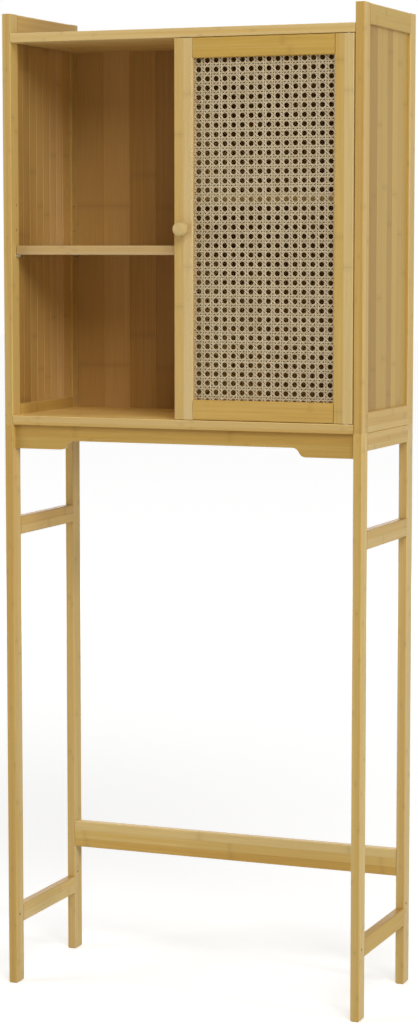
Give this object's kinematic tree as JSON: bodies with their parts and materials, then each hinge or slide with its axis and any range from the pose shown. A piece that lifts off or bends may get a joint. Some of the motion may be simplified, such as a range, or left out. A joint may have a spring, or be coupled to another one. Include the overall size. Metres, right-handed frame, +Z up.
{
  "type": "washing machine cabinet",
  "caption": "Tall bamboo cabinet on an open stand that bridges a washing machine, with an open shelved bay beside a bay closed by a cane-panelled door that swings on pivots.",
  "frame": {"origin": "floor point under the middle of the whole ground plan, knob included", "axes": "+Z up, +X to the right as seen from the front, front towards -Y"},
  "size_m": [0.66, 0.302, 1.712],
  "materials": {
    "bamboo": "satin lacquer",
    "tenon": "raw",
    "cane": "natural",
    "steel": "zinc plated",
    "nylon": "matte",
    "magnet": "matte"
  },
  "bodies": {
    "cabinet": {"back_panel": "bamboo", "board_loose_tenons": "tenon", "bottom_board": "bamboo", "catch_body": "nylon", "catch_magnet": "magnet", "centre_partition": "bamboo", "front_apron": "bamboo", "front_left_leg": "bamboo", "front_right_leg": "bamboo", "left_lower_stretcher": "bamboo", "left_shelf": "bamboo", "left_shelf_pins": "steel", "left_side_apron": "bamboo", "left_side_bottom_rail": "bamboo", "left_side_front_stile": "bamboo", "left_side_panel": "bamboo", "left_side_rear_stile": "bamboo", "left_side_top_rail": "bamboo", "left_upper_stretcher": "bamboo", "leg_loose_tenons": "tenon", "lower_pivot_bush": "nylon", "rear_apron": "bamboo", "rear_left_leg": "bamboo", "rear_right_leg": "bamboo", "rear_stretcher": "bamboo", "right_lower_stretcher": "bamboo", "right_shelf": "bamboo", "right_shelf_pins": "steel", "right_side_apron": "bamboo", "right_side_bottom_rail": "bamboo", "right_side_front_stile": "bamboo", "right_side_panel": "bamboo", "right_side_rear_stile": "bamboo", "right_side_top_rail": "bamboo", "right_upper_stretcher": "bamboo", "top_board": "bamboo", "upper_pivot_bush": "nylon"},
    "door": {"door_knob_stile": "bamboo", "door_hinge_stile": "bamboo", "door_bottom_rail": "bamboo", "door_top_rail": "bamboo", "cane_webbing": "cane", "cane_bottom_bead": "bamboo", "cane_top_bead": "bamboo", "cane_left_bead": "bamboo", "cane_right_bead": "bamboo", "door_knob": "bamboo", "knob_screw": "steel", "lower_pivot_pin": "steel", "upper_pivot_pin": "steel", "strike_plate": "steel"}
  },
  "joints": [
    {"name": "door_hinge", "type": "hinge", "parent": "cabinet", "child": "door", "pos_m": [0.3015, -0.123, 1.34], "axis": [0, 0, 1], "range_deg": [0, 110]}
  ]
}
